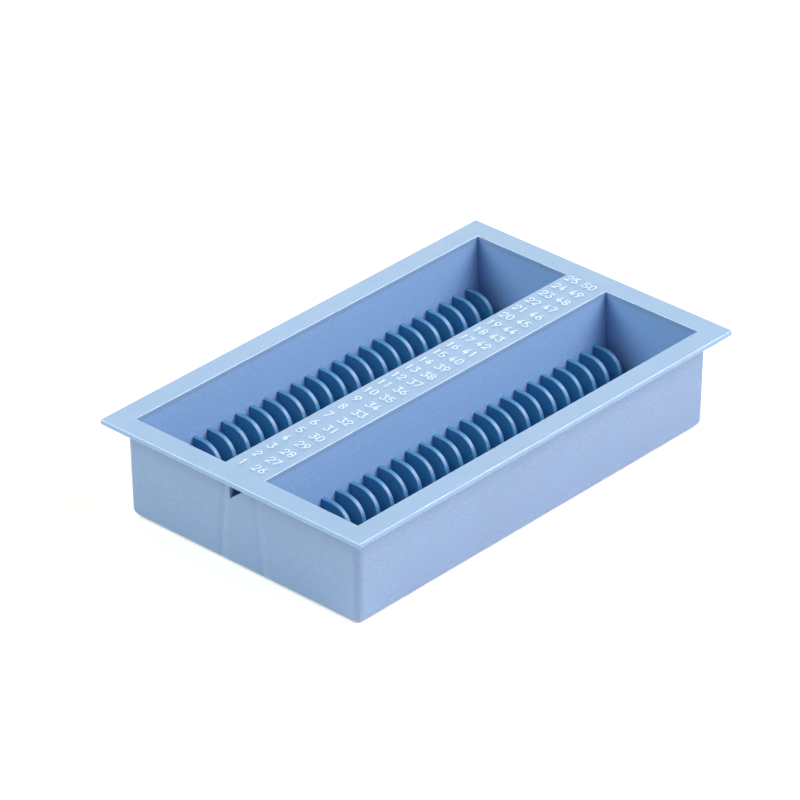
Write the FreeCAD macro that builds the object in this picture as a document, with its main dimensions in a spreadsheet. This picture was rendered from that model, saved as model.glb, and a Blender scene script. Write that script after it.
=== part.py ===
import FreeCAD, Part
import Sketcher
import math
import os

# Microscope slide tray with fifty numbered places: one drafted moulding, divided into its named features.
# Units are millimetres. +X runs along the tray from place 1 to place 25,
# +Y points to the rear long side, +Z is up.
# The origin is at the middle of the underside, on the surface that the tray stands on.

DOC = FreeCAD.newDocument("slide_tray")

# ---------------------------------------------------------------- driving dimensions
DIMENSIONS = [
    ("tray_length", 208.0),        # over the rim, along X
    ("tray_width", 130.4),         # over the rim, along Y
    ("tray_height", 41.4),         # underside to the top of the rim
    ("rim_thickness", 2.3),
    ("rim_overhang", 6.6),         # how far the rim stands out from the walls
    ("rim_border", 9.4),           # rim edge to the opening of a channel
    ("rim_edge_radius", 0.55),
    ("divider_width", 20.0),       # across the numbered top of the divider
    ("outer_draft", 0.9),          # degrees, outside faces
    ("channel_draft", 1.8),        # degrees, long faces of the two channels
    ("end_draft", 0.4),            # degrees, end faces of the two channels
    ("corner_radius", 3.1),        # upright outer corners
    ("foot_radius", 3.1),          # outer edge round the underside
    ("floor_thickness", 2.4),
    ("hollow_width", 13.8),        # space under the top of the divider
    ("hollow_draft", 4.0),         # degrees
    ("window_side", 5.6),          # middle of the divider to the upright side of each end's opening
    ("window_depth", 12.9),        # rim top to the lowest corner of that opening
    ("window_slope", 39.0),        # degrees, how its lower edge rises from that corner to the front
    ("window_skin", 1.7),          # thickness of the end wall round that opening
    ("fin_pitch", 7.63),
    ("fin_thickness", 1.9),
    ("fin_reach", 14.6),           # opening edge to the nose of a fin, across the channel
    ("fin_depth", 20.3),           # rim top to the flat top edge of a fin
    ("fin_nose_radius", 9.4),
    ("fin_edge_radius", 0.45),
    ("digit_height", 3.6),         # over the centre lines of the strokes
    ("digit_width", 2.0),
    ("digit_pitch", 3.15),
    ("stroke_width", 0.66),
    ("stroke_relief", 0.3),
    ("stroke_edge_radius", 0.1),
    ("numeral_shift", 0.95),       # numerals stand a little past the middle of their places
    ("rear_numeral_line", 4.95),   # from the middle of the divider
    ("front_numeral_line", -3.3),
]
FIN_SETS = 24
PLACES_PER_CHANNEL = FIN_SETS + 1

sheet = DOC.addObject("Spreadsheet::Sheet", "dims")
for row, (alias, value) in enumerate(DIMENSIONS, start=1):
    sheet.set("A%d" % row, alias)
    sheet.set("B%d" % row, str(value))
    sheet.setAlias("B%d" % row, alias)
DOC.recompute()

# Lengths that several pieces share, as expressions on the sheet.
DECK_UNDERSIDE = "(dims.tray_height - dims.rim_thickness)"
HALF_LENGTH = "(dims.tray_length / 2)"
HALF_WIDTH = "(dims.tray_width / 2)"
WALL_HALF_LENGTH = "(dims.tray_length / 2 - dims.rim_overhang)"
WALL_HALF_WIDTH = "(dims.tray_width / 2 - dims.rim_overhang)"
OPENING_HALF_LENGTH = "(dims.tray_length / 2 - dims.rim_border)"
OPENING_EDGE = "(dims.tray_width / 2 - dims.rim_border)"
DIVIDER_EDGE = "(dims.divider_width / 2)"
HOLLOW_EDGE = "(dims.hollow_width / 2)"
CHANNEL_INSET = "(%s * tan(dims.channel_draft * 1deg))" % DECK_UNDERSIDE
END_INSET = "(%s * tan(dims.end_draft * 1deg))" % DECK_UNDERSIDE
HOLLOW_SPREAD = "(%s * tan(dims.hollow_draft * 1deg))" % DECK_UNDERSIDE
OUTER_INSET = "(%s * tan(dims.outer_draft * 1deg))" % DECK_UNDERSIDE

NODES = []


def dim(alias):
    """The plain number in the sheet's cell of that name."""
    return float(sheet.get(alias))


def bind(target, **expressions):
    """Ties properties of an object to expressions on the sheet."""
    for name, expression in expressions.items():
        target.setExpression(name, expression)


def block(name, x_range, y_range, z_range):
    """A plain box between expressions for its faces, each range a pair (low, high)."""
    box = DOC.addObject("Part::Box", name)
    bind(box, Length="%s - (%s)" % (x_range[1], x_range[0]), Width="%s - (%s)" % (y_range[1], y_range[0]),
         Height="%s - (%s)" % (z_range[1], z_range[0]))
    box.setExpression("Placement.Base.x", x_range[0])
    box.setExpression("Placement.Base.y", y_range[0])
    box.setExpression("Placement.Base.z", z_range[0])
    return box


def drafted_block(name, x_foot, x_head, y_foot, y_head):
    """A block with four leaning sides, from the underside up to the rim, given by its two outlines."""
    wedge = DOC.addObject("Part::Wedge", name)
    bind(wedge, Ymin="0", Ymax=DECK_UNDERSIDE,
         Xmin=x_foot[0], Xmax=x_foot[1], X2min=x_head[0], X2max=x_head[1],
         Zmin="-(%s)" % y_foot[1], Zmax="-(%s)" % y_foot[0],
         Z2min="-(%s)" % y_head[1], Z2max="-(%s)" % y_head[0])
    wedge.Placement = FreeCAD.Placement(FreeCAD.Vector(), FreeCAD.Rotation(FreeCAD.Vector(1, 0, 0), 90))
    return wedge


def common(name, *shapes):
    """The space that all the given objects share."""
    result = DOC.addObject("Part::MultiCommon", name)
    result.Shapes = list(shapes)
    return result


def cut(name, base, tool):
    """The base without the tool."""
    result = DOC.addObject("Part::Cut", name)
    result.Base = base
    result.Tool = tool
    return result


def node(piece, label):
    """Names a finished sub-part: its label is its node and its file."""
    piece.Label = label
    NODES.append(piece)
    return piece


def origin_plane(body, role):
    """One of a body's own origin planes, such as XY_Plane."""
    return next(item for item in body.Origin.OriginFeatures if item.Role == role)


def line(start, end):
    return Part.LineSegment(FreeCAD.Vector(start[0], start[1], 0), FreeCAD.Vector(end[0], end[1], 0))


def edges_where(shape, test):
    """The names of a shape's edges whose middle point and direction pass a test."""
    names = []
    for number, edge in enumerate(shape.Edges, start=1):
        middle = edge.valueAt((edge.FirstParameter + edge.LastParameter) / 2)
        reach = edge.Vertexes[-1].Point - edge.Vertexes[0].Point
        if test(middle, reach):
            names.append("Edge%d" % number)
    return names


# ---------------------------------------------------------------- outside of the moulding, below the rim
def outer_shell():
    """The drafted outside of the tray as one solid, with its rounded upright corners and rounded foot."""
    body = DOC.addObject("PartDesign::Body", "OuterShell")
    wedge = body.newObject("PartDesign::AdditiveWedge", "OuterShellBlock")
    bind(wedge, Ymin="0", Ymax=DECK_UNDERSIDE,
         Xmin="-%s + %s" % (WALL_HALF_LENGTH, OUTER_INSET), Xmax="%s - %s" % (WALL_HALF_LENGTH, OUTER_INSET),
         X2min="-%s" % WALL_HALF_LENGTH, X2max=WALL_HALF_LENGTH,
         Zmin="-%s + %s" % (WALL_HALF_WIDTH, OUTER_INSET), Zmax="%s - %s" % (WALL_HALF_WIDTH, OUTER_INSET),
         Z2min="-%s" % WALL_HALF_WIDTH, Z2max=WALL_HALF_WIDTH)
    quarter_turn = FreeCAD.Rotation(FreeCAD.Vector(1, 0, 0), 90)
    wedge.AttachmentOffset = FreeCAD.Placement(FreeCAD.Vector(), quarter_turn)
    wedge.AttachmentSupport = [(origin_plane(body, "XY_Plane"), "")]
    wedge.MapMode = "FlatFace"
    DOC.recompute()
    upright = edges_where(wedge.Shape, lambda middle, reach: abs(reach.z) > dim("tray_height") / 2)
    corners = body.newObject("PartDesign::Fillet", "UprightCorners")
    corners.Base = (wedge, upright)
    bind(corners, Radius="dims.corner_radius")
    DOC.recompute()
    foot_edges = edges_where(corners.Shape, lambda middle, reach: abs(middle.z) < 0.01)
    foot = body.newObject("PartDesign::Fillet", "RoundedFoot")
    foot.Base = (corners, foot_edges)
    bind(foot, Radius="dims.foot_radius")
    body.Tip = foot
    DOC.recompute()
    return body


# ---------------------------------------------------------------- the flat rim and the top of the divider
def deck():
    """The whole flat top as one plate with its two openings and softened edges."""
    body = DOC.addObject("PartDesign::Body", "Deck")
    plate = body.newObject("PartDesign::AdditiveBox", "DeckPlate")
    bind(plate, Length="dims.tray_length", Width="dims.tray_width", Height="dims.rim_thickness")
    plate.AttachmentSupport = [(origin_plane(body, "XY_Plane"), "")]
    plate.MapMode = "FlatFace"
    plate.setExpression("AttachmentOffset.Base.x", "-dims.tray_length / 2")
    plate.setExpression("AttachmentOffset.Base.y", "-dims.tray_width / 2")
    plate.setExpression("AttachmentOffset.Base.z", DECK_UNDERSIDE)
    for name, y_low in (("FrontOpening", "-%s" % OPENING_EDGE), ("RearOpening", DIVIDER_EDGE)):
        opening = body.newObject("PartDesign::SubtractiveBox", name)
        bind(opening, Length="2 * %s" % OPENING_HALF_LENGTH, Width="%s - %s" % (OPENING_EDGE, DIVIDER_EDGE),
             Height="dims.tray_height")
        opening.AttachmentSupport = [(origin_plane(body, "XY_Plane"), "")]
        opening.MapMode = "FlatFace"
        opening.setExpression("AttachmentOffset.Base.x", "-%s" % OPENING_HALF_LENGTH)
        opening.setExpression("AttachmentOffset.Base.y", y_low)
        opening.setExpression("AttachmentOffset.Base.z", "dims.tray_height / 2")
    DOC.recompute()
    solid = body.Tip
    top = dim("tray_height")
    underside = top - dim("rim_thickness")
    rim_x = dim("tray_length") / 2
    rim_y = dim("tray_width") / 2

    def softened(middle, reach):
        on_top = abs(middle.z - top) < 0.01
        on_outline = abs(abs(middle.x) - rim_x) < 0.01 or abs(abs(middle.y) - rim_y) < 0.01
        return on_top or (on_outline and (abs(middle.z - underside) < 0.01 or abs(reach.z) > 1))

    edges = body.newObject("PartDesign::Fillet", "SoftEdges")
    edges.Base = (solid, edges_where(solid.Shape, softened))
    bind(edges, Radius="dims.rim_edge_radius")
    body.Tip = edges
    DOC.recompute()
    return body


shell = outer_shell()
top_plate = deck()

# ---------------------------------------------------------------- spaces that part the moulding
FAR = "dims.tray_length"
between_long_walls = drafted_block(
    "BetweenLongWalls", ("-" + FAR, FAR), ("-" + FAR, FAR),
    ("-%s + %s" % (OPENING_EDGE, CHANNEL_INSET), "%s - %s" % (OPENING_EDGE, CHANNEL_INSET)),
    ("-%s" % OPENING_EDGE, OPENING_EDGE))
between_end_walls = drafted_block(
    "BetweenEndWalls",
    ("-%s + %s" % (OPENING_HALF_LENGTH, END_INSET), "%s - %s" % (OPENING_HALF_LENGTH, END_INSET)),
    ("-%s" % OPENING_HALF_LENGTH, OPENING_HALF_LENGTH), ("-" + FAR, FAR), ("-" + FAR, FAR))
front_half = block("FrontHalf", ("-" + FAR, FAR), ("-" + FAR, "0"), ("0", FAR))
rear_half = block("RearHalf", ("-" + FAR, FAR), ("0", FAR), ("0", FAR))
left_half = block("LeftHalf", ("-" + FAR, "0"), ("-" + FAR, FAR), ("0", FAR))
right_half = block("RightHalf", ("0", FAR), ("-" + FAR, FAR), ("0", FAR))
below_floor_top = block("BelowFloorTop", ("-" + FAR, FAR), ("-" + FAR, FAR), ("0", "dims.floor_thickness"))


def mirrored_range(y_range, side):
    """A range of Y for the rear (side 1) or its mirror image for the front (side -1)."""
    low, high = y_range
    return (low, high) if side > 0 else ("-(%s)" % high, "-(%s)" % low)


def channel_space(name, side):
    """The full drafted height of one channel, from its long wall to the divider."""
    foot = ("%s + %s" % (DIVIDER_EDGE, CHANNEL_INSET), "%s - %s" % (OPENING_EDGE, CHANNEL_INSET))
    head = (DIVIDER_EDGE, OPENING_EDGE)
    return drafted_block(name, ("-" + FAR, FAR), ("-" + FAR, FAR),
                         mirrored_range(foot, side), mirrored_range(head, side))


def divider_side(name, side):
    """One leaning side of the hollow divider."""
    foot = ("%s + %s" % (HOLLOW_EDGE, HOLLOW_SPREAD), "%s + %s" % (DIVIDER_EDGE, CHANNEL_INSET))
    head = (HOLLOW_EDGE, DIVIDER_EDGE)
    return drafted_block(name, ("-" + FAR, FAR), ("-" + FAR, FAR),
                         mirrored_range(foot, side), mirrored_range(head, side))


# ---------------------------------------------------------------- long walls
long_walls = cut("LongWalls", shell, between_long_walls)
node(common("FrontWall", long_walls, front_half), "front_long_wall")
node(common("RearWall", long_walls, rear_half), "rear_long_wall")

# ---------------------------------------------------------------- hollow of the divider and its windows
hollow = drafted_block(
    "HollowSpace", ("-" + FAR, FAR), ("-" + FAR, FAR),
    ("-%s - %s" % (HOLLOW_EDGE, HOLLOW_SPREAD), "%s + %s" % (HOLLOW_EDGE, HOLLOW_SPREAD)),
    ("-%s" % HOLLOW_EDGE, HOLLOW_EDGE))

# Each window has three corners under the rim: an upright side to the rear,
# and a lower edge that rises to the front.
WINDOW_CORNER = "(dims.tray_height - dims.window_depth)"
RISE = "tan(dims.window_slope * 1deg)"
above_rising_edge = drafted_block(
    "AboveRisingEdge", ("-" + FAR, FAR), ("-" + FAR, FAR),
    ("dims.window_side + %s / %s" % (WINDOW_CORNER, RISE), FAR),
    ("dims.window_side - (%s - %s) / %s" % (DECK_UNDERSIDE, WINDOW_CORNER, RISE), FAR))
before_side = block("BeforeWindowSide", ("-" + FAR, FAR), ("-" + FAR, "dims.window_side"), ("0", FAR))
windows = common("Windows", above_rising_edge, before_side, hollow)

SKIN_BACK = "(%s - dims.window_skin)" % WALL_HALF_LENGTH
behind_skin = block("BehindSkin", ("-" + SKIN_BACK, SKIN_BACK), ("-" + FAR, FAR), (WINDOW_CORNER, FAR))
upper_hollow = common("UpperHollow", hollow, behind_skin)

# ---------------------------------------------------------------- end walls, thinner round their windows
core = common("Core", shell, between_long_walls)
end_walls = cut("EndWalls", core, between_end_walls)
windowed = cut("WindowedEndWalls", end_walls, windows)
thinned = cut("ThinnedEndWalls", windowed, upper_hollow)
node(common("LeftEnd", thinned, left_half), "left_end_wall")
node(common("RightEnd", thinned, right_half), "right_end_wall")

# ---------------------------------------------------------------- channels and divider
for word, side in (("front", -1), ("rear", 1)):
    space = channel_space("%sChannelSpace" % word.title(), side)
    node(common("%sFloor" % word.title(), shell, between_end_walls, space, below_floor_top),
         "%s_channel_floor" % word)
    slab = divider_side("%sDividerSlab" % word.title(), side)
    node(common("%sDividerSide" % word.title(), shell, between_end_walls, slab), "divider_%s_side" % word)

# ---------------------------------------------------------------- rim rails and divider top
DECK_RANGE = (DECK_UNDERSIDE, "dims.tray_height")
DECK_PARTS = [
    ("front_rim_rail", ("-" + HALF_LENGTH, HALF_LENGTH), ("-" + HALF_WIDTH, "-" + OPENING_EDGE)),
    ("rear_rim_rail", ("-" + HALF_LENGTH, HALF_LENGTH), (OPENING_EDGE, HALF_WIDTH)),
    ("left_rim_rail", ("-" + HALF_LENGTH, "-" + OPENING_HALF_LENGTH), ("-" + OPENING_EDGE, OPENING_EDGE)),
    ("right_rim_rail", (OPENING_HALF_LENGTH, HALF_LENGTH), ("-" + OPENING_EDGE, OPENING_EDGE)),
    ("divider_top", ("-" + OPENING_HALF_LENGTH, OPENING_HALF_LENGTH), ("-" + DIVIDER_EDGE, DIVIDER_EDGE)),
]
for label, x_range, y_range in DECK_PARTS:
    region = block(label.title().replace("_", "") + "Region", x_range, y_range, DECK_RANGE)
    node(common(label.title().replace("_", ""), top_plate, region), label)


# ---------------------------------------------------------------- fins
def fin(name, wall_y, facing):
    """One fin that grows from a leaning channel side at wall_y and faces +Y (facing 1) or -Y (facing -1)."""
    body = DOC.addObject("PartDesign::Body", name)
    sketch = body.newObject("Sketcher::SketchObject", name + "Profile")
    sketch.AttachmentSupport = [(origin_plane(body, "YZ_Plane"), "")]
    sketch.MapMode = "FlatFace"
    floor = dim("floor_thickness")
    head = dim("tray_height") - dim("rim_thickness")
    lean = math.tan(math.radians(dim("channel_draft")))
    nose = dim("fin_nose_radius")
    crown = dim("tray_height") - dim("fin_depth")
    # The sketch is drawn with its wall on the left; y runs from the opening edge towards the nose.
    centre = (dim("fin_reach") - nose, crown - nose)
    tangent = (centre[0], crown)
    wall_top = ((head - crown) * lean, crown)
    wall_foot = ((head - floor) * lean, floor)
    shoulder = (dim("fin_reach"), centre[1])
    nose_foot = (dim("fin_reach"), floor)
    wall_line = sketch.addGeometry(line(wall_foot, wall_top))
    top_line = sketch.addGeometry(line(wall_top, tangent))
    arc = Part.ArcOfCircle(
        Part.Circle(FreeCAD.Vector(centre[0], centre[1], 0), FreeCAD.Vector(0, 0, 1), nose), 0, math.pi / 2)
    nose_arc = sketch.addGeometry(arc)
    nose_line = sketch.addGeometry(line(shoulder, nose_foot))
    floor_line = sketch.addGeometry(line(nose_foot, wall_foot))
    START, END = 1, 2
    for first, first_end, second, second_end in (
            (wall_line, END, top_line, START), (nose_line, END, floor_line, START),
            (floor_line, END, wall_line, START)):
        sketch.addConstraint(Sketcher.Constraint("Coincident", first, first_end, second, second_end))
    sketch.addConstraint(Sketcher.Constraint("Tangent", top_line, END, nose_arc, END))
    sketch.addConstraint(Sketcher.Constraint("Tangent", nose_line, START, nose_arc, START))
    sketch.addConstraint(Sketcher.Constraint("Horizontal", floor_line))
    sketch.addConstraint(Sketcher.Constraint("Horizontal", top_line))
    sketch.addConstraint(Sketcher.Constraint("Vertical", nose_line))

    def driven(constraint, expression):
        sketch.setExpression("Constraints[%d]" % sketch.addConstraint(constraint), expression)

    channel_lean = "tan(dims.channel_draft * 1deg)"
    driven(Sketcher.Constraint("Radius", nose_arc, nose), "dims.fin_nose_radius")
    driven(Sketcher.Constraint("DistanceX", -1, 1, nose_line, END, nose_foot[0]), "dims.fin_reach")
    driven(Sketcher.Constraint("DistanceY", -1, 1, nose_line, END, floor), "dims.floor_thickness")
    driven(Sketcher.Constraint("DistanceY", -1, 1, nose_arc, 3, centre[1]),
           "dims.tray_height - dims.fin_depth - dims.fin_nose_radius")
    driven(Sketcher.Constraint("DistanceX", -1, 1, wall_line, START, wall_foot[0]),
           "(%s - dims.floor_thickness) * %s" % (DECK_UNDERSIDE, channel_lean))
    driven(Sketcher.Constraint("Angle", wall_line, math.pi / 2 + math.radians(dim("channel_draft"))),
           "90deg + dims.channel_draft * 1deg")
    DOC.recompute()
    pad = body.newObject("PartDesign::Pad", name + "Plate")
    pad.Profile = sketch
    pad.Midplane = True
    bind(pad, Length="dims.fin_thickness")
    DOC.recompute()

    def free_edge(middle, reach):
        on_wall = abs(middle.y - (head - middle.z) * lean) < 0.01
        on_floor = abs(middle.z - floor) < 0.01
        on_face = abs(abs(middle.x) - dim("fin_thickness") / 2) < 0.01
        return on_face and not on_wall and not on_floor

    edges = body.newObject("PartDesign::Fillet", name + "Edges")
    edges.Base = (pad, edges_where(pad.Shape, free_edge))
    bind(edges, Radius="dims.fin_edge_radius")
    body.Tip = edges
    turn = 0 if facing > 0 else 180
    body.Placement = FreeCAD.Placement(FreeCAD.Vector(), FreeCAD.Rotation(FreeCAD.Vector(0, 0, 1), turn))
    body.setExpression("Placement.Base.y", wall_y)
    DOC.recompute()
    return body


# ---------------------------------------------------------------- four fins in line, repeated along the tray
fins_in_line = DOC.addObject("Part::Compound", "FinsInLine")
fins_in_line.Links = [
    fin("RearWallFin", OPENING_EDGE, -1),
    fin("DividerRearFin", DIVIDER_EDGE, 1),
    fin("DividerFrontFin", "-" + DIVIDER_EDGE, -1),
    fin("FrontWallFin", "-" + OPENING_EDGE, 1),
]
for number in range(1, FIN_SETS + 1):
    fin_set = DOC.addObject("Part::Compound", "FinSet%02d" % number)
    fin_set.Links = [fins_in_line]
    fin_set.setExpression("Placement.Base.x", "dims.fin_pitch * %s" % (number - (FIN_SETS + 1) / 2))
    node(fin_set, "fins_%02d" % number)


# ---------------------------------------------------------------- raised numerals
def straight_stroke(start, end):
    """The flat outline of a straight stroke with round ends."""
    half = dim("stroke_width") / 2
    start = FreeCAD.Vector(start[0], start[1], 0)
    end = FreeCAD.Vector(end[0], end[1], 0)
    along = (end - start).normalize() * half
    side = FreeCAD.Vector(-along.y, along.x, 0)
    outline = [
        Part.makeLine(start + side, end + side),
        Part.Arc(end + side, end + along, end - side).toShape(),
        Part.makeLine(end - side, start - side),
        Part.Arc(start - side, start - along, start + side).toShape(),
    ]
    return Part.Face(Part.Wire(outline))


def bent_stroke(centre, radius, begin, sweep):
    """The flat outline of a stroke that follows an arc, angles in degrees, with round ends."""
    half = dim("stroke_width") / 2
    outer = radius + half
    inner = radius - half
    middle = FreeCAD.Vector(centre[0], centre[1], 0)

    def at(reach, degrees):
        angle = math.radians(degrees)
        return middle + FreeCAD.Vector(reach * math.cos(angle), reach * math.sin(angle), 0)

    if sweep >= 360:
        disc = Part.Face(Part.Wire(Part.makeCircle(outer, middle)))
        hole = Part.Face(Part.Wire(Part.makeCircle(inner, middle)))
        return disc.cut(hole).Faces[0]
    halfway = begin + sweep / 2
    end = begin + sweep
    bulge = math.degrees(half / radius)
    outline = [
        Part.Arc(at(outer, begin), at(outer, halfway), at(outer, end)).toShape(),
        Part.Arc(at(outer, end), at(radius, end + bulge), at(inner, end)).toShape(),
        Part.Arc(at(inner, end), at(inner, halfway), at(inner, begin)).toShape(),
        Part.Arc(at(inner, begin), at(radius, begin - bulge), at(outer, begin)).toShape(),
    ]
    return Part.Face(Part.Wire(outline))


def on_circle(centre, radius, degrees):
    """The point of a circle at an angle in degrees."""
    angle = math.radians(degrees)
    return (centre[0] + radius * math.cos(angle), centre[1] + radius * math.sin(angle))


def digit_strokes(digit):
    """The strokes of one digit in plain technical lettering, origin at its lower left centre-line corner."""
    wide = dim("digit_width")
    tall = dim("digit_height")
    round_end = wide / 2
    bowl = 0.3 * tall
    bowl_centre = (0.45 * wide, bowl)
    bowl_tail = -150
    if digit == 0:
        return [
            straight_stroke((0, round_end), (0, tall - round_end)),
            straight_stroke((wide, round_end), (wide, tall - round_end)),
            bent_stroke((round_end, tall - round_end), round_end, 0, 180),
            bent_stroke((round_end, round_end), round_end, 180, 180),
        ]
    if digit == 1:
        flag_end = (0.28 * wide, 0.88 * tall)
        return [
            straight_stroke((wide / 2, 0), (wide / 2, tall)),
            straight_stroke((wide / 2, tall), flag_end),
        ]
    if digit == 2:
        # The slanted stroke starts at the lower left corner and touches the bowl along its tangent.
        centre_y = tall - round_end
        foot_to_centre = math.hypot(round_end, centre_y)
        tangent_length = math.sqrt(foot_to_centre ** 2 - round_end ** 2)
        climb = math.degrees(math.atan2(centre_y, round_end) - math.asin(round_end / foot_to_centre))
        below_side = 90 - climb
        return [
            bent_stroke((round_end, centre_y), round_end, -below_side, 180 + below_side),
            straight_stroke(on_circle((0, 0), tangent_length, climb), (0, 0)),
            straight_stroke((0, 0), (wide, 0)),
        ]
    if digit == 3:
        bowl_start = 78
        top_left = (0.05 * wide, tall)
        top_right = (wide, tall)
        return [
            straight_stroke(top_left, top_right),
            straight_stroke(top_right, on_circle(bowl_centre, bowl, bowl_start)),
            bent_stroke(bowl_centre, bowl, bowl_tail, bowl_start - bowl_tail),
        ]
    if digit == 4:
        crossing = 0.29 * tall
        stem_x = 0.66 * wide
        stem_top = 0.545 * tall
        slant_top = (0.62 * wide, tall)
        return [
            straight_stroke(slant_top, (0, crossing)),
            straight_stroke((0, crossing), (wide, crossing)),
            straight_stroke((stem_x, stem_top), (stem_x, 0)),
        ]
    if digit == 5:
        bowl_start = 140
        top_left = (0.12 * wide, tall)
        top_right = (0.95 * wide, tall)
        return [
            straight_stroke(top_right, top_left),
            straight_stroke(top_left, on_circle(bowl_centre, bowl, bowl_start)),
            bent_stroke(bowl_centre, bowl, bowl_tail, bowl_start - bowl_tail),
        ]
    if digit in (6, 9):
        # A ring with a straight stroke that leaves it along its tangent; 9 is 6 turned half round.
        tip = (0.78 * wide, tall)
        ring_centre = (round_end, round_end)
        offset = (tip[0] - round_end, tip[1] - round_end)
        leaving = math.degrees(
            math.atan2(offset[1], offset[0]) + math.acos(round_end / math.hypot(offset[0], offset[1])))
        strokes = [
            bent_stroke(ring_centre, round_end, 0, 360),
            straight_stroke(on_circle(ring_centre, round_end, leaving), tip),
        ]
        if digit == 9:
            for stroke in strokes:
                stroke.rotate(FreeCAD.Vector(wide / 2, tall / 2, 0), FreeCAD.Vector(0, 0, 1), 180)
        return strokes
    if digit == 7:
        foot = (0.28 * wide, 0)
        return [
            straight_stroke((0, tall), (wide, tall)),
            straight_stroke((wide, tall), foot),
        ]
    upper_ring = 0.45 * wide
    lower_ring = (tall - 2 * upper_ring) / 2
    return [
        bent_stroke((wide / 2, tall - upper_ring), upper_ring, 0, 360),
        bent_stroke((wide / 2, lower_ring), lower_ring, 0, 360),
    ]


def raised_digit(digit):
    """One digit as a solid with softened top edges, standing on z = 0."""
    rise = FreeCAD.Vector(0, 0, dim("stroke_relief"))
    strokes = [stroke.extrude(rise) for stroke in digit_strokes(digit)]
    solid = strokes[0].fuse(strokes[1:]).removeSplitter().Solids[0]
    top_edges = [edge for edge in solid.Edges
                 if all(abs(vertex.Z - dim("stroke_relief")) < 1e-6 for vertex in edge.Vertexes)]
    return solid.makeFillet(dim("stroke_edge_radius"), top_edges)


DIGITS = [raised_digit(digit) for digit in range(10)]


def numeral(number, line_y):
    """The raised digits of one number: their tops point to +X and they read towards -Y."""
    place = (number - 1) % PLACES_PER_CHANNEL - (PLACES_PER_CHANNEL - 1) / 2
    foot_x = place * dim("fin_pitch") + dim("numeral_shift") - dim("digit_height") / 2
    text = str(number)
    solids = []
    for position, letter in enumerate(text):
        centre_y = line_y + dim("digit_pitch") * ((len(text) - 1) / 2 - position)
        digit = DIGITS[int(letter)].copy()
        digit.Placement = FreeCAD.Placement(
            FreeCAD.Vector(foot_x, centre_y + dim("digit_width") / 2, dim("tray_height")),
            FreeCAD.Rotation(FreeCAD.Vector(0, 0, 1), -90))
        solids.append(digit)
    return solids


for label, first, line_alias in (
        ("numerals_01_to_25", 1, "rear_numeral_line"),
        ("numerals_26_to_50", 1 + PLACES_PER_CHANNEL, "front_numeral_line")):
    solids = []
    for number in range(first, first + PLACES_PER_CHANNEL):
        solids += numeral(number, dim(line_alias))
    numerals = DOC.addObject("Part::Feature", label.title().replace("_", ""))
    numerals.Shape = Part.makeCompound(solids)
    numerals.Placement = FreeCAD.Placement()
    node(numerals, label)

# ---------------------------------------------------------------- checks and files
DOC.recompute()
for item in DOC.Objects:
    if "Invalid" in item.State or "Error" in item.State:
        raise RuntimeError("%s did not rebuild: %s" % (item.Name, item.State))
for piece in NODES:
    if piece.Shape.isNull() or not piece.Shape.isValid():
        raise RuntimeError("%s has no valid shape" % piece.Label)

os.makedirs("parts", exist_ok=True)
for piece in NODES:
    piece.Shape.exportStep("parts/%s.step" % piece.Label)
print("%d sub-parts written" % len(NODES))
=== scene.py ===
"""Studio scene of the microscope slide tray. Lengths are metres in the part's own frame."""

import math

import bpy
from mathutils import Matrix, Vector

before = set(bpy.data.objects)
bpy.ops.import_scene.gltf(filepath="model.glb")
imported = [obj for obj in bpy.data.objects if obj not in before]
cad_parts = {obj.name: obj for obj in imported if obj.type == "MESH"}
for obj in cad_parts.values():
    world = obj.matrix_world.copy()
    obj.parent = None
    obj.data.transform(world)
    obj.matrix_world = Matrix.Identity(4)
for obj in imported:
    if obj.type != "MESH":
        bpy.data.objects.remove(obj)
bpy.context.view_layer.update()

MM = 0.001

# ---------------------------------------------------------------- camera
AIM = Vector((-19.3, -7.3, 41.4)) * MM
CAMERA_DISTANCE = 2.12
CAMERA_HEADING = math.radians(42.52)
CAMERA_PITCH = math.radians(30.39)
CAMERA_ROLL = math.radians(0.14)
LENS_MM = 257.2
SENSOR_MM = 36.0


def add_camera():
    """A long lens that looks down along the heading, from the tray's near left corner."""
    forward = Vector((
        math.cos(CAMERA_PITCH) * math.cos(CAMERA_HEADING),
        math.cos(CAMERA_PITCH) * math.sin(CAMERA_HEADING),
        -math.sin(CAMERA_PITCH)))
    data = bpy.data.cameras.new("camera")
    data.lens = LENS_MM
    data.sensor_width = SENSOR_MM
    data.clip_end = 20
    camera = bpy.data.objects.new("camera", data)
    turn = forward.to_track_quat("-Z", "Y").to_matrix().to_4x4()
    roll = Matrix.Rotation(-CAMERA_ROLL, 4, "Z")
    camera.matrix_world = Matrix.Translation(AIM - CAMERA_DISTANCE * forward) @ turn @ roll
    bpy.context.scene.collection.objects.link(camera)
    bpy.context.scene.camera = camera


# ---------------------------------------------------------------- materials
# Linear colours. The rim and the outer sides get darker copies of the blue as painted shade.
TRAY_BLUE = (0.217, 0.395, 0.745)
# A darker copy for the rim rails and the divider's top: painted shade.
RIM_SHADED_BLUE = (0.197, 0.355, 0.63)
# A darker, greyer copy for the outer faces of the walls: painted shade.
OUTER_SHADED_BLUE = (0.186, 0.303, 0.545)
# A deeper, darker blue for the fins: painted shade of the narrow channels.
FIN_SHADED_BLUE = (0.055, 0.29, 0.58)
# Lighter colours for rounded edges that face up: painted highlights.
EDGE_HIGHLIGHT_BLUE = (0.46, 0.60, 0.82)
FIN_EDGE_HIGHLIGHT = (0.25, 0.42, 0.74)
NUMERAL_BLUE = (0.46, 0.62, 0.86)
# Painted highlight on the numerals' rounded edges.
NUMERAL_EDGE_HIGHLIGHT = (0.55, 0.70, 0.92)
TRAY_ROUGHNESS = 0.45
NUMERAL_ROUGHNESS = 0.4
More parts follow.
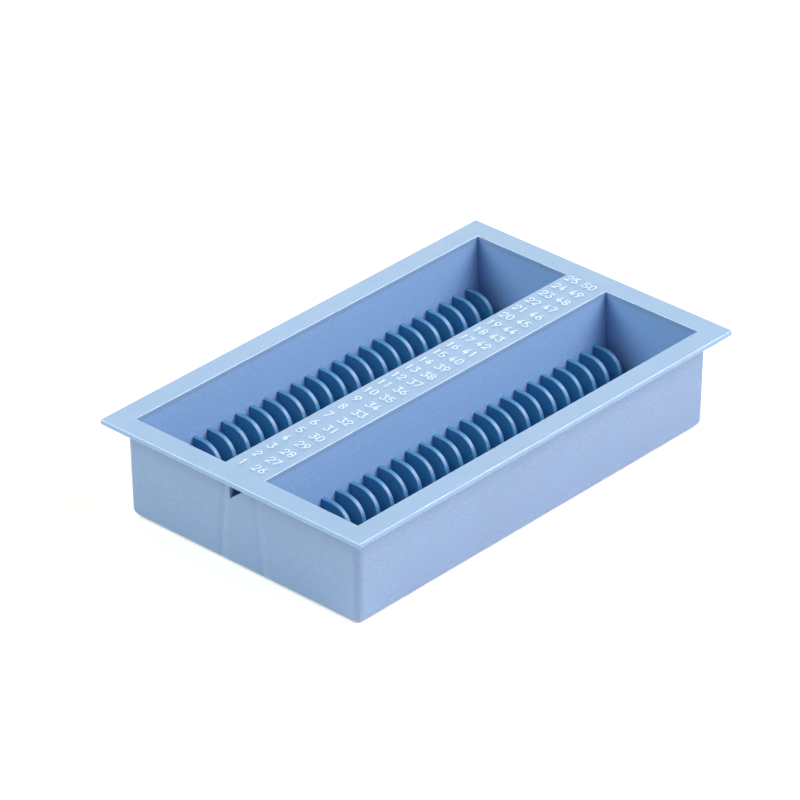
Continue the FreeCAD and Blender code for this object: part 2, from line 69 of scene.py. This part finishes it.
# Features per metre of the slow flow marks, the fine moulded grain and the speckle between them.
FLOW_SCALE = 14
GRAIN_SCALE = 2200
SPECKLE_SCALE = 160
# How dark the flow marks and the grain get against the base colour, and how strongly the grain shows.
FLOW_TONE = 0.95
GRAIN_TONE = 0.7
GRAIN_STRENGTH = 0.6
GRAIN_HEIGHT = 0.06 * MM
# The divider's sides show through each end wall as two lines that spread downwards.
SINK_TOP = 27 * MM
SINK_OFFSET = 8.3 * MM
SINK_LEAN = 0.09
SINK_WIDTH = 1.8 * MM
SINK_DEPTH = 0.4 * MM


class Nodes:
    """A short way to write a material's nodes."""

    def __init__(self, name):
        self.material = bpy.data.materials.new(name)
        self.material.use_nodes = True
        self.tree = self.material.node_tree
        self.shader = self.tree.nodes["Principled BSDF"]

    def add(self, kind, **settings):
        node = self.tree.nodes.new(kind)
        for key, value in settings.items():
            setattr(node, key, value)
        return node

    def link(self, source, target):
        self.tree.links.new(source, target)

    def feed(self, value, target):
        """Connects a socket, or sets a number or a colour."""
        if isinstance(value, bpy.types.NodeSocket):
            self.link(value, target)
        elif isinstance(value, (int, float)):
            target.default_value = value
        else:
            target.default_value = (*value, 1)

    def noise(self, place, scale, detail):
        """Cloudy noise, scale in features per metre."""
        texture = self.add("ShaderNodeTexNoise")
        texture.inputs["Scale"].default_value = scale
        texture.inputs["Detail"].default_value = detail
        self.link(place, texture.inputs["Vector"])
        return texture.outputs["Fac"]

    def ramp(self, value, low, high, first, last):
        """A colour that goes from first to last as the value goes from low to high."""
        node = self.add("ShaderNodeValToRGB")
        start, end = node.color_ramp.elements
        start.position, end.position = low, high
        start.color, end.color = (*first, 1), (*last, 1)
        self.link(value, node.inputs["Fac"])
        return node.outputs["Color"]

    def ramp_value(self, value, low, high, first, last):
        """A number that goes from first to last as the value goes from low to high."""
        node = self.add("ShaderNodeMapRange")
        for name, number in (("From Min", low), ("From Max", high), ("To Min", first), ("To Max", last)):
            self.feed(number, node.inputs[name])
        self.link(value, node.inputs["Value"])
        return node.outputs["Result"]

    def mix_colour(self, factor, first, second, blend="MIX"):
        """The second colour over the first; any of the three may be a socket or a value."""
        node = self.add("ShaderNodeMix", data_type="RGBA", blend_type=blend)
        for name, value in (("Factor", factor), ("A", first), ("B", second)):
            self.feed(value, node.inputs[name])
        return node.outputs["Result"]

    def highlight_edge_mask(self):
        """Where the painted highlight goes: from 0 on flat faces, which all face nearly along an axis, to 1
        on rounded edges that face up.
        """
        facing = self.add("ShaderNodeSeparateXYZ")
        self.link(self.add("ShaderNodeNewGeometry").outputs["Normal"], facing.inputs["Vector"])
        x, y, z = (self.math("ABSOLUTE", facing.outputs[axis], 0) for axis in "XYZ")
        most = self.math("MAXIMUM", self.math("MAXIMUM", x, y), z)
        rounded = self.ramp_value(most, 0.985, 0.8, 0, 1)
        return self.math("MULTIPLY", rounded, self.ramp_value(facing.outputs["Z"], 0.05, 0.35, 0, 1))

    def outside_mask(self, place):
        """1 on wall faces that look away from the middle of the tray, 0 on those that look towards it."""
        outward = self.add("ShaderNodeVectorMath", operation="DOT_PRODUCT")
        self.link(self.add("ShaderNodeNewGeometry").outputs["Normal"], outward.inputs[0])
        self.link(place, outward.inputs[1])
        return self.ramp_value(outward.outputs["Value"], -5 * MM, 20 * MM, 0, 1)

    def bump(self, height, depth, normal):
        node = self.add("ShaderNodeBump")
        node.inputs["Distance"].default_value = depth
        self.link(height, node.inputs["Height"])
        if normal:
            self.link(normal, node.inputs["Normal"])
        return node.outputs["Normal"]

    def math(self, operation, first, second):
        """One sum; either side may be a socket or a number."""
        node = self.add("ShaderNodeMath", operation=operation)
        for socket, value in zip(node.inputs, (first, second)):
            self.feed(value, socket)
        return node.outputs[0]

    def sink_lines(self, place):
        """Soft grooves where the divider's leaning sides meet the end wall: 0 deepest, 1 flush."""
        parts = self.add("ShaderNodeSeparateXYZ")
        self.link(place, parts.inputs["Vector"])
        drop = self.math("SUBTRACT", SINK_TOP, parts.outputs["Z"])
        line = self.math("ADD", self.math("MULTIPLY", drop, SINK_LEAN), SINK_OFFSET)
        distance = self.math("SUBTRACT", self.math("ABSOLUTE", parts.outputs["Y"], 0), line)
        across = self.math("MULTIPLY", distance, 1 / SINK_WIDTH)
        depth = self.math("POWER", math.e, self.math("MULTIPLY", self.math("MULTIPLY", across, across), -1))
        return self.math("SUBTRACT", 1, depth)


def plastic(name, base, pale, roughness=TRAY_ROUGHNESS, outer_shade=None, grooved=False):
    """Satin moulded plastic: faint flow tone, fine grain and lighter rounded edges that face up, which are
    a painted highlight.

    A wall may have a darker colour on its outer faces as painted shade, and the divider's sink lines.
    """
    n = Nodes(name)
    place = n.add("ShaderNodeTexCoord").outputs["Object"]
    flow = n.noise(place, FLOW_SCALE, 3)
    grain = n.noise(place, GRAIN_SCALE, 2)
    speckle = n.noise(place, SPECKLE_SCALE, 4)

    def cloudy(colour):
        return n.ramp(flow, 0.3, 0.7, [channel * FLOW_TONE for channel in colour], colour)

    colour = cloudy(base)
    if outer_shade:
        # The outer faces take the darker copy: painted shade.
        colour = n.mix_colour(n.outside_mask(place), colour, cloudy(outer_shade))
    grain_shade = n.ramp(grain, 0.35, 0.65, [GRAIN_TONE] * 3, [1] * 3)
    grainy = n.mix_colour(GRAIN_STRENGTH, colour, grain_shade, blend="MULTIPLY")
    # Rounded edges that face up turn lighter here: a painted highlight, varied by the speckle.
    edge_highlight = n.math("MULTIPLY", n.highlight_edge_mask(), n.ramp_value(speckle, 0.3, 0.6, 0.45, 1.0))
    n.link(n.mix_colour(edge_highlight, grainy, pale), n.shader.inputs["Base Color"])
    gloss_change = n.ramp_value(speckle, 0.3, 0.7, roughness - 0.05, roughness + 0.06)
    n.link(gloss_change, n.shader.inputs["Roughness"])

    normal = n.bump(grain, GRAIN_HEIGHT, None)
    if grooved:
        normal = n.bump(n.sink_lines(place), SINK_DEPTH, normal)
    n.link(normal, n.shader.inputs["Normal"])
    return n.material


def dress(material, names):
    """Gives every named node one material."""
    for name in names:
        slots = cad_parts[name].data.materials
        slots.clear()
        slots.append(material)


# ---------------------------------------------------------------- studio
FLOOR_HALF_SIDE = 6
FLOOR_GAP = 0.2 * MM
FLOOR_GREY = 0.88
FLOOR_GLOW = 0.2
WORLD_GLOW = 0.08
WHITE = (1, 1, 1)
LIGHT_DISTANCE = 4.0
LIGHT_SIDE = 2.9
# Name, direction from +X and height in degrees, strength at the tray in watts per square metre, colour.
SOFT_LIGHTS = [
    ("front_low", 300, 12, 1.1, (1.0, 0.70, 0.60)),
    ("front_high", 300, 42, 4.5, (1.0, 0.90, 0.78)),
    ("rear_left_high", 140, 42, 3.8, (0.94, 0.94, 0.79)),
    ("back_low", 45, 12, 2.0, (1.0, 0.84, 0.68)),
    ("left_fill", 232, 28, 0.4, (0.96, 0.93, 0.82)),
]


def add_floor():
    """A wide pale floor that glows a little, just under the tray."""
    side = FLOOR_HALF_SIDE
    mesh = bpy.data.meshes.new("floor")
    corners = [(-side, -side, 0), (side, -side, 0), (side, side, 0), (-side, side, 0)]
    mesh.from_pydata(corners, [], [(0, 1, 2, 3)])
    floor = bpy.data.objects.new("floor", mesh)
    floor.location.z = -FLOOR_GAP
    bpy.context.scene.collection.objects.link(floor)
    n = Nodes("floor")
    n.feed([FLOOR_GREY] * 3, n.shader.inputs["Base Color"])
    n.feed(0.9, n.shader.inputs["Roughness"])
    n.feed(WHITE, n.shader.inputs["Emission Color"])
    n.feed(FLOOR_GLOW, n.shader.inputs["Emission Strength"])
    mesh.materials.append(n.material)


def add_soft_light(name, heading, height, strength, colour):
    """A large square lamp that faces the tray, given by how strongly it lights a surface turned to it."""
    data = bpy.data.lights.new(name, "AREA")
    data.shape = "SQUARE"
    data.size = LIGHT_SIDE
    data.energy = strength * math.pi * LIGHT_DISTANCE ** 2
    data.color = colour
    heading, height = math.radians(heading), math.radians(height)
    outward = Vector((
        math.cos(height) * math.cos(heading), math.cos(height) * math.sin(heading), math.sin(height)))
    light = bpy.data.objects.new(name, data)
    turn = outward.to_track_quat("Z", "Y").to_matrix().to_4x4()
    light.matrix_world = Matrix.Translation(outward * LIGHT_DISTANCE) @ turn
    bpy.context.scene.collection.objects.link(light)


def add_world():
    """A faint even light from all round."""
    world = bpy.data.worlds.new("studio")
    world.use_nodes = True
    background = world.node_tree.nodes["Background"]
    background.inputs["Color"].default_value = (*WHITE, 1)
    background.inputs["Strength"].default_value = WORLD_GLOW
    bpy.context.scene.world = world


# ---------------------------------------------------------------- the whole picture
def nodes_named(fits):
    """The tray's nodes whose name fits."""
    return [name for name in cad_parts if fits(name)]


add_camera()
numerals = nodes_named(lambda name: name.startswith("numerals"))
fins = nodes_named(lambda name: name.startswith("fins"))
end_walls = nodes_named(lambda name: name.endswith("end_wall"))
long_walls = nodes_named(lambda name: name.endswith("long_wall"))
tops = nodes_named(lambda name: name.endswith("rim_rail") or name == "divider_top")
dressed = numerals + fins + end_walls + long_walls + tops
inner_parts = nodes_named(lambda name: name not in dressed)
dress(plastic("tray_blue", TRAY_BLUE, EDGE_HIGHLIGHT_BLUE), inner_parts)
# The rim rails and the divider's top get the darker copy: painted shade.
dress(plastic("rim_shaded_blue", RIM_SHADED_BLUE, EDGE_HIGHLIGHT_BLUE), tops)
# The fins get the deeper blue as painted shade.
dress(plastic("fin_shaded_blue", FIN_SHADED_BLUE, FIN_EDGE_HIGHLIGHT), fins)
# The outer faces of the walls get the darker copy: painted shade.
dress(plastic("wall_blue", TRAY_BLUE, EDGE_HIGHLIGHT_BLUE, outer_shade=OUTER_SHADED_BLUE), long_walls)
dress(plastic("end_wall_blue", TRAY_BLUE, EDGE_HIGHLIGHT_BLUE, outer_shade=OUTER_SHADED_BLUE, grooved=True), end_walls)
dress(plastic("numeral_blue", NUMERAL_BLUE, NUMERAL_EDGE_HIGHLIGHT, NUMERAL_ROUGHNESS), numerals)
add_floor()
add_world()
for lamp in SOFT_LIGHTS:
    add_soft_light(*lamp)

bpy.context.scene.view_settings.view_transform = "Standard"
